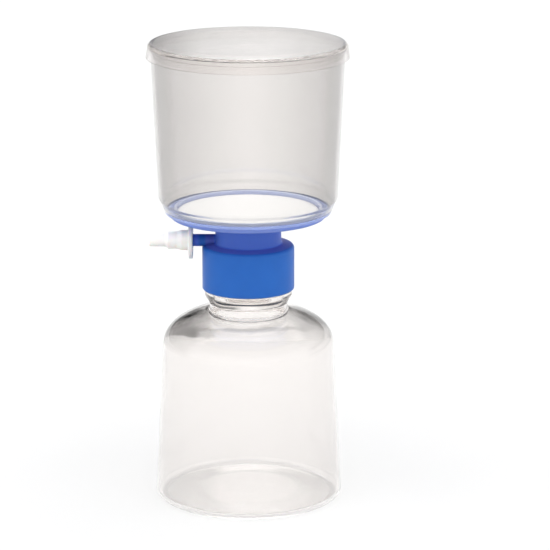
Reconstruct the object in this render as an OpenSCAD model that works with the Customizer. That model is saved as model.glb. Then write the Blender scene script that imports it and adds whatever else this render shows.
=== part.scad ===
// Vacuum filtration unit: a covered chamber over a flat membrane, a blue
// filter base with a side vacuum port, and a screw-on receiver bottle.
// Millimetres. +Z is up and the bottle stands on Z = 0, centred on the origin.
// The vacuum port points along -X.

/* [Receiver bottle] */
// Outer radius of the bottle at its foot
foot_r = 48.9; // [46:0.1:50]
// Outer radius of the bottle where the shoulder begins
shoulder_r = 45.1; // [43:0.1:46]
// Height at which the shoulder begins
shoulder_z = 79; // [70:1:84]
// Height of the full shoulder curve, as if it closed on the axis
shoulder_h = 23; // [20:0.5:25]
// Wall thickness of the bottle
bottle_wall = 1.5; // [1.2:0.1:1.8]
// Thickness of the shoulder where it meets the neck
shoulder_t = 4.6; // [1.5:0.1:5]
// Radius of the bottom edge
foot_edge_r = 4; // [3:0.5:5]
// Height of the push-up under the floor
push_up_h = 0.8; // [0.6:0.1:1.6]
// Thickness of the floor
floor_t = 1.6; // [1.4:0.1:2]

/* [Bottle neck] */
// Outer radius of the waist between the shoulder and the neck bead
waist_r = 20.4; // [20:0.1:21]
// Outer radius of the bead below the thread
bead_r = 22.9; // [22:0.1:23.2]
// Root radius of the neck's thread
neck_r = 21; // [20.8:0.1:21.1]
// Bore radius of the neck
neck_bore_r = 19; // [18:0.1:19.2]
// Height of the bottle's lip
lip_z = 132.1; // [132:0.1:132.4]

/* [Thread] */
// Rise of the thread in one turn
thread_lead = 4; // [3.6:0.1:4.4]
// Height of a thread ridge out of its wall
ridge_h = 1.25; // [1.1:0.05:1.3]
// Width of a thread ridge at its wall
ridge_root_w = 1.7; // [1.4:0.1:1.8]
// Width of a thread ridge at its crest
ridge_crest_w = 0.8; // [0.6:0.1:1]
// Number of turns of ridge on the neck
neck_turns = 1.75; // [1.5:0.25:2]
// Number of turns of ridge in the collar
collar_turns = 1.5; // [1.25:0.25:1.75]

/* [Filter base] */
// Outer radius of the collar
collar_r = 24; // [23.9:0.1:25]
// Inner radius of the collar
collar_bore_r = 22.8; // [22.7:0.05:22.9]
// Height of the collar's lower edge
collar_z = 111.7; // [111.5:0.1:112.5]
// Outer radius of the neck between the collar and the dish
stem_r = 17.2; // [16.8:0.1:17.6]
// Wall thickness of that neck
stem_wall = 1.4; // [1.2:0.1:1.6]
// Outer radius of the dish's flange
dish_r = 40.4; // [40:0.1:41]
// Height of the flange's top face
flange_z = 152.9; // [152.8:0.1:153.2]
// Outer radius of the upstanding rim round the membrane
rim_r = 38.6; // [38.4:0.1:38.8]
// Height of the rim's top edge
rim_z = 155.5; // [155:0.1:156]
// Slope of the funnel, as rise over run
funnel_slope = 0.2265; // [0.21:0.0005:0.235]
// Bore radius of the outlet spout
spout_bore_r = 4; // [3:0.1:4.4]
// Outer radius of the outlet spout
spout_r = 5.4; // [5.2:0.1:6]
// Height of the spout's tip
spout_tip_z = 127; // [126:0.5:131]

/* [Vacuum port] */
// Height of the port's axis
port_z = 137.2; // [136.8:0.1:138]
// Outer radius of the port
port_r = 3.2; // [3:0.05:3.4]
// Distance of the port's shoulder from the bottle's axis
port_reach = 28.7; // [27:0.1:30]
// Outer radius of the spigot that the hose adapter fits over
spigot_r = 2.6; // [2.5:0.05:2.7]
// Length of that spigot
spigot_len = 12.8; // [10:0.1:13]
// Bore radius of the port
port_bore_r = 1.9; // [1.6:0.05:2]
// Length of the cotton plug in the port
plug_len = 7; // [5:0.5:8]

/* [Hose adapter] */
// Radius of the adapter's finger flange
grip_r = 9.7; // [8:0.1:10]
// Thickness of the finger flange
grip_t = 2.2; // [1.6:0.1:2.6]
// Radius of the adapter's hub next to the flange
hub_r = 5.3; // [5:0.1:5.6]
// Radius of the step for wide tubing
wide_step_r = 4.5; // [4.2:0.1:4.8]
// Radius of the tail for narrow tubing
tail_r = 3.35; // [3.1:0.05:3.6]
// Distance of the tail's tip from the bottle's axis
tail_reach = 51.5; // [50:0.1:52]

/* [Membrane and support] */
// Radius of the filter membrane
membrane_r = 36.5; // [36:0.1:36.6]
// Thickness of the filter membrane
membrane_t = 0.15; // [0.1:0.01:0.2]
// Radius of the support plate
plate_r = 36.6; // [36:0.1:36.7]
// Thickness of the support plate
plate_t = 1.4; // [1.2:0.1:1.4]
// Number of ring grooves in the support plate
groove_count = 5; // [3:1:6]
// Radius of the drain holes in the grooves
drain_r = 0.7; // [0.5:0.1:0.8]

/* [Upper chamber] */
// Outer radius of the chamber's foot, which overhangs the dish
chamber_foot_r = 43.2; // [43:0.1:44]
// Thickness of that foot
chamber_foot_t = 1.2; // [1:0.1:1.4]
// Outer radius of the chamber at its lower bend
chamber_low_r = 46.5; // [46:0.1:46.8]
// Outer radius of the chamber under its rim bead
chamber_top_r = 50.05; // [49:0.05:50.1]
// Height of the chamber's lower bend
bend_z = 161; // [160.6:0.1:162]
// Height of the chamber's rim
chamber_z = 239.8; // [238:0.1:240]
// Wall thickness of the chamber
chamber_wall = 1.5; // [1.3:0.1:1.6]

/* [Lid] */
// Outer radius of the lid at its skirt's lower edge
lid_r = 52.4; // [52.3:0.1:53]
// Height of the lid from its skirt's edge to its top
lid_h = 7.3; // [6:0.1:8]
// Thickness of the lid's top
lid_t = 1.4; // [1.2:0.1:1.6]
// Thickness of the lid's skirt
skirt_t = 0.9; // [0.8:0.05:0.95]
// Radius of the rounded edge round the lid's top
lid_edge_r = 2; // [1.6:0.1:2.2]

/* [Hidden] */
$fn = 96;

arc_steps = 6;             // points on a rounded corner, less one
shoulder_steps = 18;       // points on the shoulder, less one
shoulder_power = 2.4;      // above 2, the shoulder is squarer than an ellipse
ridge_steps = 36;          // sections of thread ridge in one turn
ridge_sink = 0.4;          // how far a ridge's root lies inside its wall
flank_offset = 1.5;        // collar's ridge below the neck's ridge
running_gap = 0.05;        // radial gap of a running fit
edge = 0.4;                // small edge chamfer

// Bottle
foot_ring_r = 42.1;
push_up_w = 14;            // width of the slope round the push-up
floor_top_z = push_up_h + floor_t;
body_slope = (foot_r - shoulder_r) / (shoulder_z - foot_edge_r);
waist_fillet = 1.5;
waist_top_z = 104.4;
bead_low_z = 108.7;
bead_top_z = 111.2;
neck_thread_z = 117.6;

// Filter base
ceiling_z = 133.3;
seal_t = ceiling_z - lip_z;
collar_edge_r = 0.8;
collar_shoulder_r = 1.8;
shoulder_rise = 1.3;       // from the top of the collar's rounded edge to the neck
stem_fillet = 0.8;
rim_t = 1.7;
rim_bore_r = rim_r - rim_t;
ledge_w = 2.3;
plate_rise = 0.5;          // from the flange up to the support plate's top
ledge_z = flange_z + plate_rise - plate_t;
funnel_r = rim_bore_r - ledge_w;
funnel_drop = 1.1;         // funnel's edge below the ledge
funnel_t = 1.4;
dish_edge_r = 0.6;         // edge of the dish's lip
dish_under_r = 38.1;       // where the lip's lower edge meets the underside
dish_low_z = flange_z - 2.6;
spigot_tip = port_reach + spigot_len;

// Upper chamber
chamber_slope = (chamber_top_r - chamber_low_r) / (237 - bend_z);
bead_h = 2.4;
bead_out = 0.3;
bead_edge_r = 0.8;
weld_w = 1.4;              // width of the foot's weld on the flange

function funnel_z(r) = ledge_z - funnel_drop - (funnel_r - r) * funnel_slope;
function under_z(r) = funnel_z(r) - funnel_t;

// Points of a circular arc, in the order of its angles
function arc(cx, cz, r, from, to) =
    [for (i = [0:arc_steps]) let (a = from + (to - from) * i / arc_steps)
        [cx + r * cos(a), cz + r * sin(a)]];

// Points of the bottle's shoulder, from its widest place in to radius r_end
function shoulder(r, h, r_end) =
    let (end = acos(pow(r_end / r, shoulder_power / 2)))
    [for (i = [0:shoulder_steps]) let (a = end * i / shoulder_steps)
        [r * pow(cos(a), 2 / shoulder_power),
         shoulder_z + h * pow(sin(a), 2 / shoulder_power)]];

function reversed(list) = [for (i = [len(list) - 1:-1:0]) list[i]];

// One helical ridge round Z. out is 1 for a ridge on a shaft, -1 for one in a bore.
// It grows from nothing and dies away over a sixth of a turn at each end.
module thread_ridge(wall_r, out, low_z, turns) {
    count = ceil(turns * ridge_steps);
    fade = ridge_steps / 6;
    points = [for (i = [0:count])
        let (a = 360 * i / ridge_steps,
             z = low_z + thread_lead * i / ridge_steps,
             grow = max(0.12, min(1, i / fade, (count - i) / fade)),
             root = wall_r - out * ridge_sink,
             crest = wall_r + out * ridge_h * grow,
             half_root = ridge_root_w / 2 * (0.4 + 0.6 * grow),
             half_crest = ridge_crest_w / 2 * (0.4 + 0.6 * grow))
        for (p = [[root, -half_root], [crest, -half_crest], [crest, half_crest], [root, half_root]])
            [p[0] * cos(a), p[0] * sin(a), z + p[1]]];
    sides = [for (i = [0:count - 1], k = [0:3])
        let (a = 4 * i + k, b = 4 * i + (k + 1) % 4, c = b + 4, d = a + 4)
        for (f = [[a, b, c], [a, c, d]]) f];
    last = 4 * count;
    caps = [[0, 2, 1], [0, 3, 2], [last, last + 1, last + 2], [last, last + 2, last + 3]];
    faces = concat(sides, caps);
    polyhedron(points, out > 0 ? faces : [for (f = faces) reversed(f)], convexity = 8);
}

// A cylinder along -X, from one distance from the axis to another, at the port's height
module port_cylinder(r, from, to) {
    translate([-from, 0, port_z]) rotate([0, -90, 0]) cylinder(r = r, h = to - from);
}

module receiver_bottle() {
    outer = shoulder(shoulder_r, shoulder_h, waist_r + waist_fillet);
    inner = shoulder(shoulder_r - bottle_wall, shoulder_h - shoulder_t, neck_bore_r + 1);
    fillet_z = outer[shoulder_steps][1] + waist_fillet;
    corner_r = foot_edge_r - bottle_wall;
    color([0.93, 0.92, 0.92, 0.35]) union() {
        rotate_extrude() polygon(concat(
            [[0, push_up_h], [foot_ring_r - push_up_w, push_up_h], [foot_ring_r, 0]],
            arc(foot_r - foot_edge_r, foot_edge_r, foot_edge_r, -90, 0),
            outer,
            arc(waist_r + waist_fillet, fillet_z, waist_fillet, 262, 180),
            [[waist_r, waist_top_z], [bead_r, bead_low_z], [bead_r, bead_top_z - edge],
             [bead_r - edge, bead_top_z], [neck_r, bead_top_z],
             [neck_r, lip_z - edge], [neck_r - edge, lip_z],
             [neck_bore_r + edge, lip_z], [neck_bore_r, lip_z - edge],
             [neck_bore_r, inner[shoulder_steps][1] + 1]],
            reversed(inner),
            arc(foot_r - foot_edge_r, foot_edge_r, corner_r, 0, -90),
            [[foot_ring_r, bottle_wall],
             [foot_ring_r - push_up_w, floor_top_z], [0, floor_top_z]]));
        thread_ridge(neck_r, 1, neck_thread_z, neck_turns);
    }
}

module seal_ring() {
    seal_r = collar_bore_r - edge;
    color([0.86, 0.86, 0.84]) rotate_extrude() translate([neck_bore_r - 0.2, lip_z])
        square([seal_r - neck_bore_r + 0.2, seal_t]);
}

// The turned section of the filter base: rim, dish, funnel, spout, neck and collar
module base_section() {
    stem_bore_r = stem_r - stem_wall;
    top_z = ceiling_z - 0.3 + collar_shoulder_r;
    round_r = collar_r - collar_shoulder_r;
    polygon(concat(
        [[spout_bore_r, spout_tip_z], [spout_bore_r, funnel_z(spout_bore_r)],
         [funnel_r, ledge_z - funnel_drop], [funnel_r, ledge_z], [rim_bore_r, ledge_z],
         [rim_bore_r, rim_z - edge], [rim_bore_r + edge, rim_z],
         [rim_r - edge, rim_z], [rim_r, rim_z - edge], [rim_r, flange_z],
         [dish_r - 0.3, flange_z], [dish_r, flange_z - 0.3], [dish_r, dish_low_z + dish_edge_r],
         [dish_r - dish_edge_r, dish_low_z], [dish_under_r, dish_low_z]],
        [[stem_r + stem_fillet, under_z(stem_r + stem_fillet)],
         [stem_r, under_z(stem_r) - stem_fillet]],
        arc(stem_r + stem_fillet, top_z + shoulder_rise + stem_fillet * 0.9, stem_fillet, 180, 262),
        arc(round_r, top_z - collar_shoulder_r, collar_shoulder_r, 78, 0),
        arc(collar_r - collar_edge_r, collar_z + collar_edge_r, collar_edge_r, 0, -90),
        [[collar_bore_r + 0.2, collar_z], [collar_bore_r, collar_z + 0.2],
         [collar_bore_r, ceiling_z], [stem_bore_r, ceiling_z], [stem_bore_r, under_z(stem_bore_r)],
         [spout_r, under_z(spout_r)], [spout_r, spout_tip_z + edge],
         [spout_r - edge, spout_tip_z]]));
}

module filter_base() {
    color([0.2, 0.4, 0.78]) difference() {
        union() {
            rotate_extrude() base_section();
            thread_ridge(collar_bore_r, -1, neck_thread_z - flank_offset, collar_turns);
            port_cylinder(port_r, stem_r - stem_wall / 2, port_reach);
            port_cylinder(spigot_r, port_reach - 1, spigot_tip);
        }
        port_cylinder(port_bore_r, stem_r - 2 * stem_wall, spigot_tip + 1);
    }
}

module support_plate() {
    groove_w = 2.2;
    groove_depth = 0.5;
    groove_step = (plate_r - 4) / (groove_count + 0.5);
    color([0.8, 0.86, 0.95]) difference() {
        translate([0, 0, ledge_z]) cylinder(r = plate_r, h = plate_t);
        for (i = [1:groove_count]) {
            translate([0, 0, ledge_z + plate_t - groove_depth]) difference() {
                cylinder(r = i * groove_step + groove_w / 2, h = plate_t);
                translate([0, 0, -1]) cylinder(r = i * groove_step - groove_w / 2, h = plate_t + 2);
            }
            for (k = [0:4 * i - 1])
                rotate(90 * k / i) translate([i * groove_step, 0, ledge_z - 1])
                    cylinder(r = drain_r, h = plate_t + 2, $fn = 24);
        }
    }
}

module membrane() {
    color([0.98, 0.98, 0.98]) translate([0, 0, ledge_z + plate_t])
        cylinder(r = membrane_r, h = membrane_t);
}

module vacuum_plug() {
    color([0.96, 0.95, 0.92])
        port_cylinder(port_bore_r - running_gap, port_reach - plug_len - 1.5, port_reach - 1.5);
}

module hose_adapter() {
    start = port_reach + 0.1;
    socket_end = spigot_tip + 0.5;
    grip_end = start + grip_t;
    hub_end = grip_end + 3.6;
    wide_start = hub_end + 2.4;
    wide_end = wide_start + 4.6;
    tail_start = wide_end + 1.6;
    color([0.95, 0.94, 0.92]) translate([0, 0, port_z]) rotate([0, -90, 0])
        rotate_extrude() polygon([
            [spigot_r + running_gap, start], [grip_r - 0.5, start], [grip_r, start + 0.5],
            [grip_r, grip_end - 0.5], [grip_r - 0.5, grip_end], [hub_r, grip_end],
            [hub_r, hub_end], [wide_step_r, wide_start], [wide_step_r, wide_end],
            [tail_r, tail_start], [tail_r, tail_reach - 0.5], [tail_r - 0.5, tail_reach],
            [port_bore_r + 0.1, tail_reach], [port_bore_r + 0.1, socket_end],
            [spigot_r + running_gap, socket_end]]);
}

module upper_chamber() {
    bead_z = chamber_z - bead_h;
    chamber_bead_r = chamber_top_r + bead_out;
    inner_foot_r = chamber_foot_r - chamber_wall;
    // Below the bend, the wall curves in to its foot, which is welded on the dish's flange
    color([0.9, 0.88, 0.87, 0.35]) rotate_extrude() polygon(concat(
        [[dish_r - weld_w, flange_z], [chamber_foot_r, flange_z],
         [chamber_foot_r + 0.5, flange_z + 1.6], [chamber_foot_r + 1.2, flange_z + 3.1],
         [chamber_foot_r + 1.7, flange_z + 4.7], [chamber_low_r - 0.25, bend_z - 1.1],
         [chamber_low_r, bend_z],
         [chamber_low_r + chamber_slope * (bead_z - bend_z), bead_z],
         [chamber_bead_r, bead_z + 0.3]],
        arc(chamber_bead_r - bead_edge_r, chamber_z - bead_edge_r, bead_edge_r, 0, 90),
        [[chamber_top_r - chamber_wall + 0.3, chamber_z],
         [chamber_top_r - chamber_wall, chamber_z - 0.3],
         [chamber_low_r - chamber_wall, bend_z],
         [chamber_low_r - chamber_wall - 0.25, bend_z - 1.2],
         [inner_foot_r + 1.7, flange_z + 5.2], [inner_foot_r + 1.2, flange_z + 3.6],
         [inner_foot_r + 0.5, flange_z + 1.9], [inner_foot_r, flange_z + chamber_foot_t],
         [dish_r - weld_w, flange_z + chamber_foot_t]]));
}

module lid() {
    top_z = chamber_z + lid_t;
    skirt_z = top_z - lid_h;
    top_r = lid_r - 1.1;
    inner_edge_r = lid_edge_r - 1.1;
    color([0.88, 0.86, 0.86, 0.35]) rotate_extrude() polygon(concat(
        [[0, top_z]],
        arc(top_r - lid_edge_r, top_z - lid_edge_r, lid_edge_r, 90, 9),
        [[lid_r, skirt_z + 0.3], [lid_r - 0.3, skirt_z], [lid_r - skirt_t + 0.1, skirt_z],
         [lid_r - skirt_t, skirt_z + 0.2]],
        arc(top_r - skirt_t + 0.35 - inner_edge_r, chamber_z - inner_edge_r, inner_edge_r, 5, 90),
        [[0, chamber_z]]));
}

receiver_bottle();
seal_ring();
filter_base();
support_plate();
membrane();
vacuum_plug();
hose_adapter();
upper_chamber();
lid();
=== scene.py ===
"""Looks of the vacuum filtration unit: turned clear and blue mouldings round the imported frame."""

import math

import bmesh
import bpy
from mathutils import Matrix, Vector, noise

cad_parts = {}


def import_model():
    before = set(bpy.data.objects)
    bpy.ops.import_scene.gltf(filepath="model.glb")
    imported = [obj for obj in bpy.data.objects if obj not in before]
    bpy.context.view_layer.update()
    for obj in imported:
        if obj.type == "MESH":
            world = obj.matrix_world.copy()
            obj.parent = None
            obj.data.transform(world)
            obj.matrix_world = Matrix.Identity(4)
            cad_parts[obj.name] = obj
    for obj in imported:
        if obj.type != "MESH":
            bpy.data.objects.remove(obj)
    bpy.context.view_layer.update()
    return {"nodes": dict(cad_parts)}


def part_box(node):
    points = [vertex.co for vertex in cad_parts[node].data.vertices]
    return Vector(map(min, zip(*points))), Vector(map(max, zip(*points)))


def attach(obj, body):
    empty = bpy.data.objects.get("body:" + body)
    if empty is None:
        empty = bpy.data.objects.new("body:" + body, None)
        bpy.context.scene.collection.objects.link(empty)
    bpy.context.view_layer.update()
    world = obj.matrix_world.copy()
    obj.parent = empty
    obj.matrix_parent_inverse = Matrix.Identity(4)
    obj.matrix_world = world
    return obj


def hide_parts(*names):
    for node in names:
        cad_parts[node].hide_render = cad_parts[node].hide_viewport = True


MM = 0.001
NEAR = 0.1              # a face this near to a height or a radius, in millimetres, lies on it
HAIR = 0.02             # the same for the narrow top of the flange
TURN = 2 * math.pi
SEGMENTS = 224          # round the axis of a turned piece, where it names no other number

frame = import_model()


# ---------------------------------------------------------------- sizes, in millimetres

def cad(node):
    """A CAD node's lowest and highest corner, in millimetres."""
    low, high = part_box(node)
    return low / MM, high / MM


bottle_high = cad("receiver_bottle")[1]
base_high = cad("filter_base")[1]
chamber_low, chamber_high = cad("upper_chamber")
lid_low, lid_high = cad("lid")
plate_low = cad("support_plate")[0]
membrane_low, membrane_high = cad("membrane")
seal_high = cad("seal_ring")[1]
plug_low, plug_high = cad("vacuum_plug")
adapter_low, adapter_high = cad("hose_adapter")

# Bottle
FOOT_R = 48.9
SHOULDER_R = 45.1
SHOULDER_Z = 79
SHOULDER_H = 23
SHOULDER_POWER = 2.4    # above 2, the shoulder is squarer than an ellipse
SHOULDER_STEPS = 56
SHOULDER_T = 4.6        # the plastic is thickest where the shoulder meets the neck
BOTTLE_WALL = 1.5
CALM_R = 10             # the wall's waves die away within this distance of the axis
FOOT_EDGE = 4
FOOT_RING_R = 42.1
PUSH_UP_H = 0.8
PUSH_UP_W = 14          # width of the slope round the push-up
FLOOR_T = 1.6
WAIST_R = 20.4
WAIST_TOP_Z = 104.4
BEAD_R = 22.9
BEAD_LOW_Z = 108.7
BEAD_TOP_Z = 111.2
NECK_R = 21
NECK_BORE_R = 19
LIP_Z = bottle_high.z
FROST_Z = 2.6           # the bottle's foot is frosted up to here

# Thread
LEAD = 4
RIDGE_H = 1.2
RIDGE_ROOT_W = 1.7
RIDGE_CREST_W = 0.8
RIDGE_RUN_IN = 6        # a ridge grows to its height over a sixth of a turn
NECK_THREAD_Z = 117.6
NECK_TURNS = 1.75
COLLAR_TURNS = 1.5
FLANK_OFFSET = 1.5      # collar's ridge below the neck's
THREAD_ROW = 0.16       # spacing of the mesh rows across a thread
NECK_ROWS = (116, 127)  # from where to where the neck has close rows for its thread
COLLAR_ROWS = (114, 128)

# Filter base
COLLAR_R = 24
COLLAR_BORE_R = 22.8
COLLAR_Z = 111.7
COLLAR_SHOULDER = 1.8
CEILING_Z = seal_high.z
COLLAR_TOP_Z = CEILING_Z + 1.35       # at the collar's rounded edge
COLLAR_RISE = 1.5       # from there up to the stem
STEM_R = 17.2
STEM_BORE_R = 15.8
DISH_R = 40.4
DISH_LOW_Z = chamber_low.z - 2.6
FLANGE_Z = chamber_low.z
RIM_R = 38.6
RIM_BORE_R = 36.9
RIM_Z = base_high.z
LEDGE_Z = plate_low.z
FUNNEL_R = 34.6
FUNNEL_SLOPE = 0.2265
FUNNEL_T = 1.4
FUNNEL_DROP = 1.1       # funnel's edge below the ledge
DISH_UNDER_R = 38.1     # where the lip's lower edge meets the underside
SPOUT_R = 5.4
SPOUT_BORE_R = 4
SPOUT_TIP_Z = 127
SHARP_ANGLE = 32        # between the faces of an edge that isn't smoothed, in degrees

# Vacuum port and hose adapter
PORT_Z = (adapter_low.z + adapter_high.z) / 2
PORT_R = 3.2
PORT_REACH = 28.7
SPIGOT_R = 2.6
SPIGOT_TIP = 41.5
PORT_BORE_R = 1.9
LUMPS = 0.03            # unevenness of the cotton plug, as a share of its radius
ADAPTER_START = -adapter_high.x
ADAPTER_TIP = -adapter_low.x
GRIP_R = (adapter_high.z - adapter_low.z) / 2
GRIP_T = 2.2
HUB_R = 5.3
HUB_L = 3.6
HUB_CONE_L = 2.4        # from the hub down to the wide step
WIDE_STEP_R = 4.5
WIDE_STEP_L = 4.6
TAIL_CONE_L = 1.6
TAIL_R = 3.35

# Chamber and lid
CHAMBER_FOOT_R = 43.2
CHAMBER_FOOT_T = 1.2
WELD_W = 1.4            # width of the foot's weld on the flange
# Corners of the bend above the foot: outwards from the foot, up from the flange, how much
# higher on the inside, and the fillet
FOOT_BEND = [(0.5, 1.6, 0.3, 1.5), (1.2, 3.1, 0.5, 3), (1.7, 4.7, 0.5, 3)]
CHAMBER_LOW_R = 46.5    # at BEND_Z
CHAMBER_TOP_R = 50.05   # at TOP_R_Z
BEND_Z = 161
TOP_R_Z = 237
CHAMBER_WALL = 1.5
RIM_BEAD_H = 2.4
RIM_BEAD_OUT = 0.3
CHAMBER_Z = chamber_high.z
WAVY_LOW_Z = FLANGE_Z + 9             # the wall is slightly uneven from here
WAVY_HIGH_Z = CHAMBER_Z - 3           # up to here
WAVY_FADE = 6
LID_R = lid_high.x
LID_TOP_Z = lid_high.z
SKIRT_Z = lid_low.z
SKIRT_T = 0.9
SKIRT_FLARE = 1.1       # how much wider the skirt is than the top
LID_EDGE = 2            # radius of the rounded edge round the top
LID_RIDGE_W = 3.4       # flat ring inside that edge
LID_SINK = (0.12, 0.05)  # how far the middle and the slope round it lie below that ring
LID_SINK_W = 12         # from the edge in to the foot of the slope
LID_GAP = 0.06          # film of air between the lid and the chamber's rim

# Membrane
MARK_DEPTH = 0.024      # of the plate's grooves, as faint marks in the sheet
SHEET_STEPS = 60        # steps of the outline from the middle to the edge
MARKED_STEPS = 55       # of them have marks, up to the welded edge
MARK_STEPS = 10         # steps from one mark to the next


# ---------------------------------------------------------------- outlines

SIDE_SHARE = 0.48
ARC_STEP = 11
LONG_STEP = 6           # spacing of the points along a long straight run, in millimetres
ON_AXIS = 1e-6          # a radius below this is on the axis
UPWARD = 0.6            # a ripple is longer up the wall than round it


def rounded(corners, closed):
    """The outline through corners (r, z, fillet radius), with each corner turned into an arc.

    An arc takes at most SIDE_SHARE of either side, and has a step for each ARC_STEP degrees.
    """
    count = len(corners)
    path = []
    for i, (r, z, radius) in enumerate(corners):
        here = Vector((r, z))
        if not radius or (not closed and i in (0, count - 1)):
            path.append(here)
            continue
        to_last = Vector(corners[i - 1][:2]) - here
        to_next = Vector(corners[(i + 1) % count][:2]) - here
        angle = to_last.angle(to_next)
        reach = min(radius / math.tan(angle / 2), SIDE_SHARE * min(to_last.length, to_next.length))
        radius = reach * math.tan(angle / 2)
        start = here + to_last.normalized() * reach
        end = here + to_next.normalized() * reach
        middle = here + (to_last.normalized() + to_next.normalized()).normalized() * (
            radius / math.sin(angle / 2))
        steps = max(3, math.ceil(math.degrees(math.pi - angle) / ARC_STEP))
        for k in range(steps + 1):
            path.append(middle + (start - middle).slerp(end - middle, k / steps) * radius)
    return path


def held(path, closed, long=2.5, hold=0.12):
    """The path with extra points along its straight runs over long, so that they shade flat.

    The first and the last of them lie hold from the run's ends.
    """
    pairs = list(zip(path, path[1:] + path[:1] if closed else path[1:]))
    out = []
    for a, b in pairs:
        out.append(a)
        run = b - a
        if run.length > long:
            parts = max(1, round(run.length / LONG_STEP))
            out.append(a + run.normalized() * hold)
            out += [a + run * (k / parts) for k in range(1, parts)]
            out.append(b - run.normalized() * hold)
    if not closed:
        out.append(path[-1])
    return out


def turned(name, path, closed, shape=None, segments=SEGMENTS, more=None):
    """A mesh piece made by turning path round Z.

    shape(angle, r, z) gives each point its own radius. more is another (path, shape), which
    carries on from the first.
    """
    mesh = bpy.data.meshes.new(name)
    form = bmesh.new()
    rings = []
    for line, own_shape in ((path, shape), more or ((), None)):
        for r, z in line:
            if r < ON_AXIS:
                rings.append([form.verts.new((0, 0, z * MM))] * segments)
                continue
            ring = []
            for k in range(segments):
                a = TURN * k / segments
                own = (own_shape(a, r, z) if own_shape else r) * MM
                ring.append(form.verts.new((own * math.cos(a), own * math.sin(a), z * MM)))
            rings.append(ring)
    pairs = list(zip(rings, rings[1:] + rings[:1] if closed else rings[1:]))
    for low, high in pairs:
        for k in range(segments):
            n = (k + 1) % segments
            corners = list(dict.fromkeys((low[k], low[n], high[n], high[k])))
            if len(corners) > 2:
                form.faces.new(corners)
    bmesh.ops.recalc_face_normals(form, faces=form.faces)
    form.to_mesh(mesh)
    form.free()
    mesh.polygons.foreach_set("use_smooth", [True] * len(mesh.polygons))
    piece = bpy.data.objects.new(name, mesh)
    bpy.context.scene.collection.objects.link(piece)
    return piece


def ripple(a, r, z, size, grain):
    """A slow, smooth unevenness of a moulded wall, in millimetres."""
    spot = Vector((r * math.cos(a), r * math.sin(a), z * UPWARD)) / grain
    return size * noise.noise(spot)


def ridge(a, z, low_z, turns):
    """Height of a helical thread ridge at angle a and height z."""
    height = 0
    for k in range(math.ceil(turns)):
        along = a / TURN + k
        grow = max(0, min(1, along * RIDGE_RUN_IN, (turns - along) * RIDGE_RUN_IN))
        off = abs(z - low_z - LEAD * along)
        flank = (RIDGE_ROOT_W / 2 - off) / ((RIDGE_ROOT_W - RIDGE_CREST_W) / 2)
        height = max(height, RIDGE_H * grow * max(0, min(1, flank)))
    return height


def rows(r, low_z, high_z):
    """Closely spaced points up a wall that carries a thread."""
    count = round(abs(high_z - low_z) / THREAD_ROW)
    return [Vector((r, low_z + (high_z - low_z) * k / count)) for k in range(count + 1)]


# ---------------------------------------------------------------- materials

def set_stops(ramp, stops):
    """Gives a new colour ramp its (place, colour) stops, from the lowest place up."""
    marks = ramp.elements
    for mark, (place, colour) in zip(marks, (stops[0], stops[-1])):
        mark.position = place
        mark.color = (*colour, 1)
    for place, colour in stops[1:-1]:
        marks.new(place).color = (*colour, 1)


NOISE_SPAN = (0.3, 0.7)  # nearly all of a noise texture's values lie between these
MIX_FIRST, MIX_SECOND, MIX_RESULT = 6, 7, 2     # the Mix node's colour sockets


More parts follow.
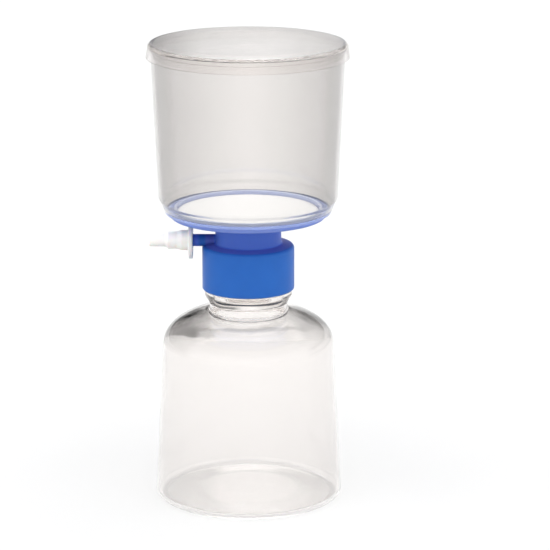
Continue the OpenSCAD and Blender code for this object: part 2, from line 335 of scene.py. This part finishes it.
class Graph:
    """A small helper that adds nodes to a new material."""

    def __init__(self, name):
        self.material = bpy.data.materials.new(name)
        self.material.use_nodes = True
        self.tree = self.material.node_tree
        self.tree.nodes.clear()
        self.output = self.add("ShaderNodeOutputMaterial")
        self.surface = self.add("ShaderNodeBsdfPrincipled")
        self.link(self.surface.outputs[0], self.output.inputs["Surface"])
        self.place = self.add("ShaderNodeTexCoord").outputs["Object"]

    def add(self, kind, **values):
        node = self.tree.nodes.new(kind)
        for key, value in values.items():
            setattr(node, key, value)
        return node

    def link(self, source, target):
        self.tree.links.new(source, target)

    def set(self, **values):
        """Sets the surface's inputs, with _ for each space in their names."""
        for key, value in values.items():
            self.surface.inputs[key.replace("_", " ")].default_value = value

    def noise(self, scale, detail=3, stretch=(1, 1, 1)):
        """Noise over the object's own coordinates, with scale in cells per metre."""
        mapping = self.add("ShaderNodeMapping")
        mapping.inputs["Scale"].default_value = stretch
        self.link(self.place, mapping.inputs["Vector"])
        texture = self.add("ShaderNodeTexNoise")
        texture.inputs["Scale"].default_value = scale
        texture.inputs["Detail"].default_value = detail
        self.link(mapping.outputs[0], texture.inputs["Vector"])
        return texture.outputs[0]

    def around_axis(self, reach):
        """The distance from the object's Z axis, as a share of reach in millimetres."""
        flat = self.add("ShaderNodeVectorMath", operation="MULTIPLY")
        flat.inputs[1].default_value = (1 / reach / MM, 1 / reach / MM, 0)
        length = self.add("ShaderNodeVectorMath", operation="LENGTH")
        self.link(self.place, flat.inputs[0])
        self.link(flat.outputs[0], length.inputs[0])
        return length.outputs["Value"]

    def ramp(self, value, stops):
        """A colour ramp of (place, colour) stops."""
        node = self.add("ShaderNodeValToRGB")
        set_stops(node.color_ramp, stops)
        self.link(value, node.inputs[0])
        return node.outputs[0]

    def blend(self, value, low, high):
        """The colour low where the noise value is low, through to the colour high."""
        return self.ramp(value, list(zip(NOISE_SPAN, (low, high))))

    def spread(self, value, low, high):
        """The same between two numbers."""
        node = self.add("ShaderNodeMapRange")
        node.inputs["From Min"].default_value = NOISE_SPAN[0]
        node.inputs["From Max"].default_value = NOISE_SPAN[1]
        node.inputs["To Min"].default_value = low
        node.inputs["To Max"].default_value = high
        self.link(value, node.inputs["Value"])
        return node.outputs[0]

    def product(self, first, second):
        """One colour times another."""
        node = self.add("ShaderNodeMix", data_type="RGBA", blend_type="MULTIPLY")
        node.inputs["Factor"].default_value = 1
        self.link(first, node.inputs[MIX_FIRST])
        self.link(second, node.inputs[MIX_SECOND])
        return node.outputs[MIX_RESULT]

    def bump(self, height, depth_mm, strength=1.0):
        """Fine relief of depth_mm millimetres from the value height."""
        node = self.add("ShaderNodeBump")
        node.inputs["Strength"].default_value = strength
        node.inputs["Distance"].default_value = depth_mm * MM
        self.link(height, node.inputs["Height"])
        self.link(node.outputs[0], self.surface.inputs["Normal"])

    def pass_lamps(self):
        """Lets rays from lamps through unbent, so that what is behind is lit."""
        clear = self.add("ShaderNodeBsdfTransparent")
        mix = self.add("ShaderNodeMixShader")
        self.link(self.add("ShaderNodeLightPath").outputs["Is Shadow Ray"], mix.inputs[0])
        self.link(self.surface.outputs[0], mix.inputs[1])
        self.link(clear.outputs[0], mix.inputs[2])
        self.link(mix.outputs[0], self.output.inputs["Surface"])

    def absorb(self, colour, density):
        """Darkens light by its way through the plastic; density is per metre."""
        node = self.add("ShaderNodeVolumeAbsorption")
        node.inputs["Color"].default_value = (*colour, 1)
        node.inputs["Density"].default_value = density
        self.link(node.outputs[0], self.output.inputs["Volume"])


CLEAR_IOR = 1.585
# Painted shade: how much a clear wall is darkened with its slant to the view, from 0 face on to 1
# edge on
PAINTED_EDGE_SHADE = [(0, 0), (0.4, 0.26), (0.6, 0.42), (0.75, 0.7), (1, 1)]
FROST_BAND = 2          # millimetres over which the frosting ends
FROST_ROUGHNESS = 0.12


def clear_plastic(name, tint, edge, haze, frost_z=0):
    """Clear moulded polystyrene: greyer towards its edges, which is painted shade, with a faint
    handling haze.

    tint colours the light that goes through, edge is how much darker a wall is painted edge on,
    and haze is its roughness. Below frost_z mm the surface is frosted.
    """
    g = Graph(name)
    g.set(IOR=CLEAR_IOR, Transmission_Weight=1.0)
    slant = g.add("ShaderNodeMath", operation="SQRT")
    g.link(g.add("ShaderNodeLayerWeight").outputs["Facing"], slant.inputs[0])
    # painted shade: the wall's colour darkens as the view grazes it, towards its silhouettes
    rim = g.ramp(slant.outputs[0], [
        (at, [part * (1 - edge * share) for part in tint]) for at, share in PAINTED_EDGE_SHADE])
    cloud = g.blend(g.noise(38, 4), (1 - haze * 0.25,) * 3, (1, 1, 1))
    g.link(g.product(rim, cloud), g.surface.inputs["Base Color"])
    scuffs = g.spread(g.noise(420, 5, (1, 1, 0.25)), haze * 0.4, haze)
    if frost_z:
        height = g.add("ShaderNodeSeparateXYZ")
        g.link(g.place, height.inputs[0])
        frost = g.add("ShaderNodeMapRange")
        frost.inputs["From Min"].default_value = frost_z * MM
        frost.inputs["From Max"].default_value = (frost_z + FROST_BAND) * MM
        frost.inputs["To Min"].default_value = FROST_ROUGHNESS
        g.link(height.outputs["Z"], frost.inputs["Value"])
        g.link(scuffs, frost.inputs["To Max"])
        scuffs = frost.outputs[0]
    g.link(scuffs, g.surface.inputs["Roughness"])
    g.bump(g.noise(55, 2, (1, 1, 0.3)), 0.06, 0.5)
    g.pass_lamps()
    g.absorb((0.4, 0.28, 0.2), 4)
    return g.material


def welded_plastic():
    """The chamber's welded foot: hazier than its wall, with the blue of the flange painted into it,
    standing for the flange seen through it.
    """
    g = Graph("clear_weld")
    # painted: the blue of the flange seen through the foot, put into the foot's own colour
    tone = g.blend(g.noise(90, 3), (0.34, 0.44, 0.79), (0.40, 0.50, 0.85))
    g.link(tone, g.surface.inputs["Base Color"])
    g.link(g.spread(g.noise(420, 4), 0.05, 0.1), g.surface.inputs["Roughness"])
    g.set(IOR=CLEAR_IOR, Transmission_Weight=0.55)
    g.bump(g.noise(55, 2), 0.06, 0.5)
    g.pass_lamps()
    return g.material


TONE_REACH = 50         # millimetres from the axis


def blue_plastic():
    """Blue moulded polystyrene: deep colour, a soft gloss and a little light inside it.

    Its tone goes by the distance from the axis, as a share of TONE_REACH: the thin wall of the
    stem, the collar's top and side, the port, and the lip of the dish, which is so thin that
    light comes through it. The stem and the port are painted lighter against the shade under
    the dish, and the lip is painted lighter for the light through it: both are painted light.
    """
    g = Graph("blue_plastic")
    cloud = g.blend(g.noise(60, 4), (0.94, 0.94, 0.95), (1.04, 1.04, 1.03))
    # painted light: the stem and the port lighter against the shade under the dish, the lip lighter
    # for the light through it
    tone = g.ramp(g.around_axis(TONE_REACH), [
        (0.35, (0.083, 0.17, 0.59)), (0.37, (0.08, 0.115, 0.45)), (0.44, (0.07, 0.115, 0.44)),
        (0.46, (0.022, 0.115, 0.42)), (0.5, (0.022, 0.115, 0.42)), (0.54, (0.08, 0.16, 0.64)),
        (0.76, (0.12, 0.18, 0.45)), (0.81, (0.15, 0.21, 0.49))])
    g.link(g.product(tone, cloud), g.surface.inputs["Base Color"])
    g.link(g.spread(g.noise(120, 4), 0.34, 0.42), g.surface.inputs["Roughness"])
    g.set(IOR=1.2, Specular_IOR_Level=0.5, Subsurface_Weight=0.25, Subsurface_Scale=0.002)
    g.surface.inputs["Subsurface Radius"].default_value = (0.2, 0.5, 1.0)
    g.bump(g.noise(160, 2), 0.01, 0.3)
    return g.material


def pale_blue_plastic(name, stops):
    """Thin blue plastic, which lets much of the light through; its pale colour stands for that
    light, as painted light.

    stops gives its colour by the distance from the axis, as a share of TONE_REACH.
    """
    g = Graph(name)
    cloud = g.blend(g.noise(80, 3), (0.95, 0.95, 0.97), (1.03, 1.03, 1.02))
    tone = g.ramp(g.around_axis(TONE_REACH), stops)
    g.link(g.product(tone, cloud), g.surface.inputs["Base Color"])
    g.link(g.spread(g.noise(700, 4), 0.12, 0.2), g.surface.inputs["Roughness"])
    g.set(IOR=1.55, Transmission_Weight=0.1)
    g.bump(g.noise(1200, 3), 0.02, 0.3)
    return g.material


def white_plastic():
    """Soft white polyethylene with a satin skin."""
    g = Graph("white_plastic")
    tone = g.blend(g.noise(150, 4), (0.76, 0.745, 0.72), (0.82, 0.805, 0.785))
    g.link(tone, g.surface.inputs["Base Color"])
    g.link(g.spread(g.noise(1100, 4), 0.32, 0.45), g.surface.inputs["Roughness"])
    g.set(IOR=1.51, Subsurface_Weight=0.3, Subsurface_Scale=0.002)
    g.bump(g.noise(2600, 3), 0.03, 0.3)
    return g.material


def membrane_sheet():
    """White microporous sheet: matt, with a very fine felted surface."""
    g = Graph("membrane_sheet")
    tone = g.blend(g.noise(500, 5), (0.85, 0.85, 0.84), (0.89, 0.89, 0.88))
    g.link(tone, g.surface.inputs["Base Color"])
    g.link(g.spread(g.noise(2500, 4), 0.75, 0.95), g.surface.inputs["Roughness"])
    g.bump(g.noise(5200, 4), 0.02, 0.4)
    return g.material


def seal_rubber():
    """Pale elastomer liner."""
    g = Graph("seal_rubber")
    tone = g.blend(g.noise(300, 3), (0.66, 0.66, 0.63), (0.74, 0.74, 0.71))
    g.link(tone, g.surface.inputs["Base Color"])
    g.link(g.spread(g.noise(1500, 3), 0.5, 0.7), g.surface.inputs["Roughness"])
    g.bump(g.noise(3000, 3), 0.03, 0.4)
    return g.material


def cotton():
    """Wadding of fine fibres."""
    g = Graph("cotton")
    fibres = g.noise(3500, 5, (0.15, 1, 1))
    g.link(g.blend(fibres, (0.78, 0.77, 0.73), (0.94, 0.93, 0.90)),
           g.surface.inputs["Base Color"])
    g.link(g.spread(fibres, 0.8, 1.0), g.surface.inputs["Roughness"])
    g.bump(fibres, 0.12, 0.8)
    return g.material


def floor_white():
    """The pale table."""
    g = Graph("floor_white")
    tone = g.blend(g.noise(3, 2), (0.665, 0.665, 0.665), (0.675, 0.675, 0.675))
    g.link(tone, g.surface.inputs["Base Color"])
    g.set(Roughness=0.9, Specular_IOR_Level=0.1)
    return g.material


# ---------------------------------------------------------------- pieces

def finish_piece(piece, material, node, body):
    """Gives a piece its material and its body, and hides the node it stands for."""
    piece.data.materials.append(material)
    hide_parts(node)
    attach(piece, body)


def shoulder(r, h, end_r):
    """Points of the bottle's shoulder from radius r in to end_r."""
    end = math.acos((end_r / r) ** (SHOULDER_POWER / 2))
    power = 2 / SHOULDER_POWER
    return [Vector((r * math.cos(end * k / SHOULDER_STEPS) ** power,
                    SHOULDER_Z + h * math.sin(end * k / SHOULDER_STEPS) ** power))
            for k in range(SHOULDER_STEPS + 1)]


def receiver_bottle():
    """The clear bottle with its screw neck, push-up and slightly uneven inner wall."""
    outer = shoulder(SHOULDER_R, SHOULDER_H, WAIST_R + 1.5)
    inner = shoulder(SHOULDER_R - BOTTLE_WALL, SHOULDER_H - SHOULDER_T, NECK_BORE_R + 1)
    slope = (FOOT_R - SHOULDER_R) / (SHOULDER_Z - FOOT_EDGE)
    floor_z = PUSH_UP_H + FLOOR_T
    heel_r = FOOT_R + slope * (FOOT_EDGE - BOTTLE_WALL) - BOTTLE_WALL
    below = held(rounded([
        (0, PUSH_UP_H, 0), (FOOT_RING_R - PUSH_UP_W, PUSH_UP_H, 100), (FOOT_RING_R, 0, 30),
        (FOOT_R + slope * FOOT_EDGE, 0, FOOT_EDGE), (SHOULDER_R, SHOULDER_Z, 0)], False), False)
    waist = held(rounded([
        (outer[-1].x, outer[-1].y, 0), (WAIST_R, outer[-1].y + 0.2, 1.3),
        (WAIST_R, WAIST_TOP_Z, 2.5), (BEAD_R, BEAD_LOW_Z, 1.5), (BEAD_R, BEAD_TOP_Z, 0.4),
        (NECK_R, BEAD_TOP_Z, 0.3), (NECK_R, NECK_ROWS[0], 0)], False), False)
    lip = held(rounded([
        (NECK_R, NECK_ROWS[1], 0), (NECK_R, LIP_Z, 0.5), (NECK_BORE_R, LIP_Z, 0.5),
        (NECK_BORE_R, inner[-1].y - 0.1, 1.5), (inner[-1].x, inner[-1].y, 0)], False), False)
    inside = held(rounded([
        (SHOULDER_R - BOTTLE_WALL, SHOULDER_Z, 0), (heel_r, BOTTLE_WALL, FOOT_EDGE - BOTTLE_WALL),
        (FOOT_RING_R, BOTTLE_WALL, 15), (FOOT_RING_R - PUSH_UP_W, floor_z, 100), (0, floor_z, 0)],
        False), False)
    path = below[:-1] + outer[:-1] + waist[:-1] + rows(NECK_R, *NECK_ROWS) + lip[1:-1]
    cavity = inner[::-1] + inside[1:]

    def shape(a, r, z):
        if r == NECK_R and NECK_ROWS[0] <= z <= NECK_ROWS[1]:
            return r + ridge(a, z, NECK_THREAD_Z, NECK_TURNS)
        return r

    def wavy(a, r, z):
        wave = ripple(a, r, z, size=0.16, grain=26) + ripple(a, r, z, size=0.04, grain=9)
        return r + min(1, r / CALM_R) * wave

    piece = turned("receiver_bottle_clear", path, False, shape, more=(cavity, wavy))
    material = clear_plastic("clear_bottle", (0.99, 0.972, 0.96), 0.09, 0.03, FROST_Z)
    finish_piece(piece, material, "receiver_bottle", "receiver")


def funnel_z(r):
    """Height of the funnel's upper side at radius r."""
    return LEDGE_Z - FUNNEL_DROP - (FUNNEL_R - r) * FUNNEL_SLOPE


def under_z(r):
    """Height of the dish's underside at radius r."""
    return funnel_z(r) - FUNNEL_T


def bar(name, r, start, end, segments=64):
    """A round bar along -X at the port's height, for cutting or joining."""
    bpy.ops.mesh.primitive_cylinder_add(
        vertices=segments, radius=r * MM, depth=(end - start) * MM,
        location=(-(start + end) / 2 * MM, 0, PORT_Z * MM), rotation=(0, math.pi / 2, 0))
    tool = bpy.context.object
    tool.name = name
    return tool


def combined(piece, tool, operation):
    """Applies a boolean of tool to piece, and removes the tool."""
    step = piece.modifiers.new(operation, "BOOLEAN")
    step.operation = operation
    step.object = tool
    step.solver = "EXACT"
    graph = bpy.context.evaluated_depsgraph_get()
    mesh = bpy.data.meshes.new_from_object(piece.evaluated_get(graph))
    piece.modifiers.clear()
    old, piece.data = piece.data, mesh
    bpy.data.meshes.remove(old)
    bpy.data.objects.remove(tool)


def filter_base():
    """The blue moulding: rim, dish, funnel, spout, neck, screw collar and vacuum stub."""
    outline = rounded([
        (COLLAR_BORE_R, COLLAR_ROWS[1], 0), (COLLAR_BORE_R, CEILING_Z, 0.4),
        (STEM_BORE_R, CEILING_Z, 0.3), (STEM_BORE_R, under_z(STEM_BORE_R), 0.8),
        (SPOUT_R, under_z(SPOUT_R), 0.8), (SPOUT_R, SPOUT_TIP_Z, 0.4),
        (SPOUT_BORE_R, SPOUT_TIP_Z, 0.4), (SPOUT_BORE_R, funnel_z(SPOUT_BORE_R), 1),
        (FUNNEL_R, LEDGE_Z - FUNNEL_DROP, 0.1),
        (FUNNEL_R, LEDGE_Z, 0.1), (RIM_BORE_R, LEDGE_Z, 0.1), (RIM_BORE_R, RIM_Z, 0.55),
        (RIM_R, RIM_Z, 0.55), (RIM_R, FLANGE_Z, 0.05), (DISH_R, FLANGE_Z, 0.3),
        (DISH_R, DISH_LOW_Z, 0.8), (DISH_UNDER_R, DISH_LOW_Z, 2),
        (STEM_R, under_z(STEM_R), 1.2), (STEM_R, COLLAR_TOP_Z + COLLAR_RISE, 0.9),
        (COLLAR_R, COLLAR_TOP_Z, COLLAR_SHOULDER), (COLLAR_R, COLLAR_Z, 0.7),
        (COLLAR_BORE_R, COLLAR_Z, 0.3), (COLLAR_BORE_R, COLLAR_ROWS[0], 0)], False)
    path = held(outline, False)[:-1] + rows(COLLAR_BORE_R, *COLLAR_ROWS)[:-1]

    def shape(a, r, z):
        if r == COLLAR_BORE_R and COLLAR_ROWS[0] < z < COLLAR_ROWS[1]:
            return r - ridge(a, z, NECK_THREAD_Z - FLANK_OFFSET, COLLAR_TURNS)
        return r

    piece = turned("filter_base_blue", path, True, shape, segments=192)
    combined(piece, bar("port", PORT_R, STEM_R - 0.7, PORT_REACH), "UNION")
    combined(piece, bar("spigot", SPIGOT_R, PORT_REACH - 1, SPIGOT_TIP), "UNION")
    combined(piece, bar("bore", PORT_BORE_R, STEM_BORE_R - 1.5, SPIGOT_TIP + 1, 48), "DIFFERENCE")
    finish_piece(piece, blue_plastic(), "filter_base", "head")
    # Painted light: the rim and the flange's top are paler than the dish for the light through the
    # thin plastic, lightest on the rim's top, and painted shade darkens them down the rim's bore.
    piece.data.materials.append(pale_blue_plastic("blue_rim_painted_light", [
        (0.735, (0.52, 0.60, 0.92)), (0.744, (0.68, 0.73, 0.95)), (0.766, (0.74, 0.79, 0.97)),
        (0.775, (0.70, 0.77, 0.98)), (0.79, (0.68, 0.75, 0.98))]))
    for face in piece.data.polygons:
        spot = face.center / MM
        rim = spot.z > LEDGE_Z and RIM_BORE_R - NEAR < math.hypot(spot.x, spot.y) < RIM_R
        face.material_index = 1 if rim or spot.z > FLANGE_Z - HAIR else 0
    piece.data.shade_smooth()
    piece.data.set_sharp_from_angle(angle=math.radians(SHARP_ANGLE))


def upper_chamber():
    """The clear chamber: tapered wall, rim bead, and a foot that curves in to its weld."""
    slope = (CHAMBER_TOP_R - CHAMBER_LOW_R) / (TOP_R_Z - BEND_Z)
    bead_z = CHAMBER_Z - RIM_BEAD_H
    wall = CHAMBER_WALL
    foot_r = CHAMBER_FOOT_R
    bend_outside = [(foot_r + out, FLANGE_Z + up, fillet) for out, up, more, fillet in FOOT_BEND]
    bend_inside = [(foot_r + out - wall, FLANGE_Z + up + more, fillet)
                   for out, up, more, fillet in reversed(FOOT_BEND)]
    path = held(rounded([
        (DISH_R - WELD_W, FLANGE_Z, 0.1), (foot_r, FLANGE_Z, 0.3), *bend_outside,
        (CHAMBER_LOW_R - 0.25, BEND_Z - 1.1, 1.5),
        (CHAMBER_LOW_R, BEND_Z, 2), (CHAMBER_LOW_R + slope * (bead_z - BEND_Z), bead_z, 0.5),
        (CHAMBER_TOP_R + RIM_BEAD_OUT, bead_z + 0.3, 0.3),
        (CHAMBER_TOP_R + RIM_BEAD_OUT, CHAMBER_Z, 0.4),
        (CHAMBER_TOP_R - wall, CHAMBER_Z, 0.35),
        (CHAMBER_LOW_R - wall, BEND_Z, 2), (CHAMBER_LOW_R - wall - 0.25, BEND_Z - 1.2, 1.5),
        *bend_inside, (foot_r - wall, FLANGE_Z + CHAMBER_FOOT_T, 0.5),
        (DISH_R - WELD_W, FLANGE_Z + CHAMBER_FOOT_T, 0.4)], True), True)

    def shape(a, r, z):
        fade = min(1, (z - WAVY_LOW_Z) / WAVY_FADE, (WAVY_HIGH_Z - z) / WAVY_FADE)
        if fade <= 0:
            return r
        inner = r < CHAMBER_LOW_R + slope * (z - BEND_Z) - wall / 2
        return r + fade * ripple(a, r, z, size=0.05 if inner else 0.01, grain=24)

    piece = turned("upper_chamber_clear", path, True, shape)
    material = clear_plastic("clear_chamber", (0.93, 0.912, 0.90), 0.5, 0.04)
    finish_piece(piece, material, "upper_chamber", "head")
    piece.data.materials.append(welded_plastic())
    weld_top = (FLANGE_Z + CHAMBER_FOOT_T + NEAR) * MM
    for face in piece.data.polygons:
        face.material_index = 1 if face.center.z < weld_top else 0


def lid():
    """The clear cover with its rounded edge and flared skirt."""
    top_r = LID_R - SKIRT_FLARE
    path = held(rounded([
        (0, LID_TOP_Z - LID_SINK[0], 0), (top_r - LID_SINK_W, LID_TOP_Z - LID_SINK[1], 8),
        (top_r - LID_RIDGE_W, LID_TOP_Z, 1), (top_r, LID_TOP_Z, LID_EDGE),
        (LID_R, SKIRT_Z, 0.25), (LID_R - SKIRT_T, SKIRT_Z, 0.2),
        (top_r - SKIRT_T + 0.35, CHAMBER_Z + LID_GAP, LID_EDGE - 1.1),
        (0, CHAMBER_Z + LID_GAP, 0)], False), False)
    piece = turned("lid_clear", path, False)
    material = clear_plastic("clear_lid", (0.975, 0.95, 0.935), 0.25, 0.05)
    finish_piece(piece, material, "lid", "cover")


def membrane():
    """The white sheet, with its welded edge and the faint marks of the grooves under it."""
    edge_r = membrane_high.x
    top_z, low_z = membrane_high.z, membrane_low.z
    marks = [MARK_DEPTH / 2 * (1 - math.cos(TURN * k / MARK_STEPS)) for k in range(MARKED_STEPS)]
    top = [Vector((edge_r * k / SHEET_STEPS, top_z - mark)) for k, mark in enumerate(marks)]
    weld = [(edge_r - 1.6, top_z), (edge_r - 1.3, top_z - 0.05), (edge_r - 0.3, top_z - 0.05),
            (edge_r, top_z - 0.08), (edge_r, low_z), (0, low_z)]
    piece = turned("membrane_sheet", top + [Vector(point) for point in weld], False)
    finish_piece(piece, membrane_sheet(), "membrane", "head")


def lay_along_port(piece):
    """Turns a piece made round Z so that it lies along the port, with its height as -X."""
    for vertex in piece.data.vertices:
        x, y, z = vertex.co
        vertex.co = (-z, y, PORT_Z * MM + x)


def hose_adapter():
    """The white stepped adapter with its finger flange, turned round X."""
    grip_end = ADAPTER_START + GRIP_T
    hub_end = grip_end + HUB_L
    wide_start = hub_end + HUB_CONE_L
    wide_end = wide_start + WIDE_STEP_L
    tail_start = wide_end + TAIL_CONE_L
    socket_r, bore_r = SPIGOT_R + 0.05, PORT_BORE_R + 0.1
    path = held(rounded([
        (socket_r, ADAPTER_START, 0.2), (GRIP_R, ADAPTER_START, 0.6), (GRIP_R, grip_end, 0.6),
        (HUB_R, grip_end, 0.6), (HUB_R, hub_end, 0.5), (WIDE_STEP_R, wide_start, 1),
        (WIDE_STEP_R, wide_end, 0.5), (TAIL_R, tail_start, 0.8), (TAIL_R, ADAPTER_TIP, 0.6),
        (bore_r, ADAPTER_TIP, 0.3), (bore_r, SPIGOT_TIP + 0.5, 0.2),
        (socket_r, SPIGOT_TIP + 0.5, 0.1)], True), True)
    piece = turned("hose_adapter_white", path, True, segments=96)
    lay_along_port(piece)
    finish_piece(piece, white_plastic(), "hose_adapter", "adapter")


def vacuum_plug():
    """The wad of cotton in the stub."""
    plug_r = (plug_high.z - plug_low.z) / 2
    path = rounded([(0, -plug_high.x, 0), (plug_r, -plug_high.x, 0.5), (plug_r, -plug_low.x, 0.5),
                    (0, -plug_low.x, 0)], False)

    def lumpy(a, r, z):
        lump = noise.noise(Vector((r * math.cos(a), r * math.sin(a), z)))
        return r * (1 - LUMPS + LUMPS * lump)

    piece = turned("vacuum_plug_cotton", held(path, False, 1.0), False, lumpy, segments=48)
    lay_along_port(piece)
    finish_piece(piece, cotton(), "vacuum_plug", "head")


def seal_and_plate():
    """The two CAD nodes that stay as they are: the liner and the support plate."""
    tones = [(0, (0.60, 0.64, 0.86)), (1, (0.66, 0.70, 0.90))]
    plate = pale_blue_plastic("support_plate_blue", tones)
    for node, material in (("seal_ring", seal_rubber()), ("support_plate", plate)):
        piece = frame["nodes"][node]
        piece.data.materials.clear()
        piece.data.materials.append(material)


# ---------------------------------------------------------------- stage

AIM_Z = 118.4           # height on the axis that the camera looks at, in millimetres
CAMERA_DISTANCE = 1513
CAMERA_ELEVATION = 14.5
CAMERA_ASIDE = 13.9     # how far the camera stands to the right of the axis
LENS = 189.8            # on a sensor SENSOR_W wide
SENSOR_W = 36
TABLE_HALF = 12         # metres
DOME = (0.85, 120)      # strength of a lamp, and how many degrees wide it is
SOFTBOX = (0.9, 50)
SOFTBOXES = 5
SOFTBOX_START = -20     # azimuth of the first, in degrees
SOFTBOX_ELEVATION = 42


def camera():
    """The photograph's view: a long lens from a little above and to the right."""
    data = bpy.data.cameras.new("camera")
    data.lens = LENS
    data.sensor_width = SENSOR_W
    data.clip_start, data.clip_end = 0.1, 40
    eye = bpy.data.objects.new("camera", data)
    tilt = math.radians(CAMERA_ELEVATION)
    eye.location = (CAMERA_ASIDE * MM, -CAMERA_DISTANCE * math.cos(tilt) * MM,
                    (AIM_Z + CAMERA_DISTANCE * math.sin(tilt)) * MM)
    eye.rotation_euler = (math.pi / 2 - tilt, 0, 0)
    bpy.context.scene.collection.objects.link(eye)
    bpy.context.scene.camera = eye


def floor():
    """The table, which is the stage."""
    mesh = bpy.data.meshes.new("floor")
    edge = TABLE_HALF
    mesh.from_pydata([(-edge, -edge, 0), (edge, -edge, 0), (edge, edge, 0), (-edge, edge, 0)],
                     [], [(0, 1, 2, 3)])
    table = bpy.data.objects.new("floor", mesh)
    mesh.materials.append(floor_white())
    bpy.context.scene.collection.objects.link(table)


def sun(name, azimuth, elevation, strength, softness):
    """A wide soft light from far off, sampled from surfaces alone, so clear walls don't show it."""
    data = bpy.data.lights.new(name, "SUN")
    data.energy = strength
    data.angle = math.radians(softness)
    lamp = bpy.data.objects.new(name, data)
    a, e = math.radians(azimuth), math.radians(elevation)
    ray = Vector((math.sin(a) * math.cos(e), -math.cos(a) * math.cos(e), math.sin(e)))
    lamp.rotation_euler = ray.to_track_quat("Z", "Y").to_euler()
    data.cycles.use_multiple_importance_sampling = False
    bpy.context.scene.collection.objects.link(lamp)


# The studio round the object, as brightness by elevation in degrees: OPEN behind the camera,
# and then three places behind the object, the middle, the left and the right. Each of them has
# its share by azimuth in degrees from straight behind. The left and the right are dark cards,
# and they and the bands of the middle give the bottle's shoulder its contrast.
OPEN = [(-90, 1), (33, 1), (36, 0.7), (48, 0.7), (52, 0.1), (90, 0.1)]
PLACES = [
    ([(-90, 1), (-1, 1), (1, 1.25), (8.8, 1.25), (9.4, 0.85), (10.6, 0.85), (11.3, 1.6),
      (14.8, 1.6), (15.3, 0.15), (17.6, 0.15), (18.2, 1), (24, 1), (33, 0.5), (50, 0.4),
      (55, 0.1), (90, 0.1)],
     [(-180, 0), (-92, 0), (-80, 1), (80, 1), (92, 0), (180, 0)]),
    ([(-90, 1), (3, 1), (5, 0.3), (11.3, 0.3), (12.3, 0.02), (50, 0.02), (90, 0.1)],
     [(-180, 0), (-92, 0), (-80, 1), (-2.6, 1), (-1.2, 0), (180, 0)]),
    ([(-90, 1), (9, 1), (10, 0.7), (11.7, 0.6), (12.5, 0.05), (17.4, 0.05), (18.2, 0.3),
      (30, 0.4), (45, 0.4), (50, 0.1), (90, 0.1)],
     [(-180, 0), (0.9, 0), (1.5, 1), (80, 1), (92, 0), (180, 0)]),
]


def world():
    """The white studio with its dark cards, by OPEN and PLACES."""
    studio = bpy.data.worlds.new("studio")
    bpy.context.scene.world = studio
    studio.use_nodes = True
    tree = studio.node_tree
    tree.nodes.clear()
    add, link = tree.nodes.new, tree.links.new
    split = add("ShaderNodeSeparateXYZ")
    link(add("ShaderNodeTexCoord").outputs["Generated"], split.inputs[0])

    def angle(operation, *sources):
        node = add("ShaderNodeMath")
        node.operation = operation
        for source, socket in zip(sources, node.inputs):
            link(source, socket)
        return node.outputs[0]

    def graded(radians, reach, stops):
        """The value by stops of (degrees, value), which run from -reach to reach."""
        part = add("ShaderNodeMath")
        part.operation = "MULTIPLY_ADD"
        part.inputs[1].default_value = math.degrees(0.5 / reach)
        part.inputs[2].default_value = 0.5
        ramp = add("ShaderNodeValToRGB")
        link(radians, part.inputs[0])
        link(part.outputs[0], ramp.inputs[0])
        set_stops(ramp.color_ramp, [(at / reach / 2 + 0.5, (value,) * 3) for at, value in stops])
        return ramp.outputs[0]

    height = angle("ARCSINE", split.outputs["Z"])
    around = angle("ARCTAN2", split.outputs["X"], split.outputs["Y"])
    glow = graded(height, 90, OPEN)
    for heights, share in PLACES:
        mix = add("ShaderNodeMix")
        mix.data_type = "RGBA"
        link(graded(around, 180, share), mix.inputs[0])
        link(glow, mix.inputs[MIX_FIRST])
        link(graded(height, 90, heights), mix.inputs[MIX_SECOND])
        glow = mix.outputs[MIX_RESULT]
    sky = add("ShaderNodeBackground")
    link(glow, sky.inputs["Color"])
    link(sky.outputs[0], add("ShaderNodeOutputWorld").inputs["Surface"])


def settings():
    """Colour management, and enough bounces for light to pass several clear walls."""
    scene = bpy.context.scene
    scene.view_settings.view_transform = "Standard"
    scene.view_settings.look = "None"
    cycles = scene.cycles
    cycles.use_denoising = True
    cycles.max_bounces = 110
    cycles.transmission_bounces = 100
    cycles.transparent_max_bounces = 48
    cycles.glossy_bounces = 100
    cycles.diffuse_bounces = 4
    cycles.caustics_reflective = False
    cycles.caustics_refractive = False
    cycles.sample_clamp_indirect = 8
    cycles.seed = 7


settings()
world()
camera()
floor()
sun("dome", 0, 90, *DOME)
for box in range(SOFTBOXES):
    azimuth = 360 / SOFTBOXES * box + SOFTBOX_START
    sun(f"softbox_{box}", azimuth, SOFTBOX_ELEVATION, *SOFTBOX)
receiver_bottle()
filter_base()
upper_chamber()
lid()
membrane()
hose_adapter()
vacuum_plug()
seal_and_plate()
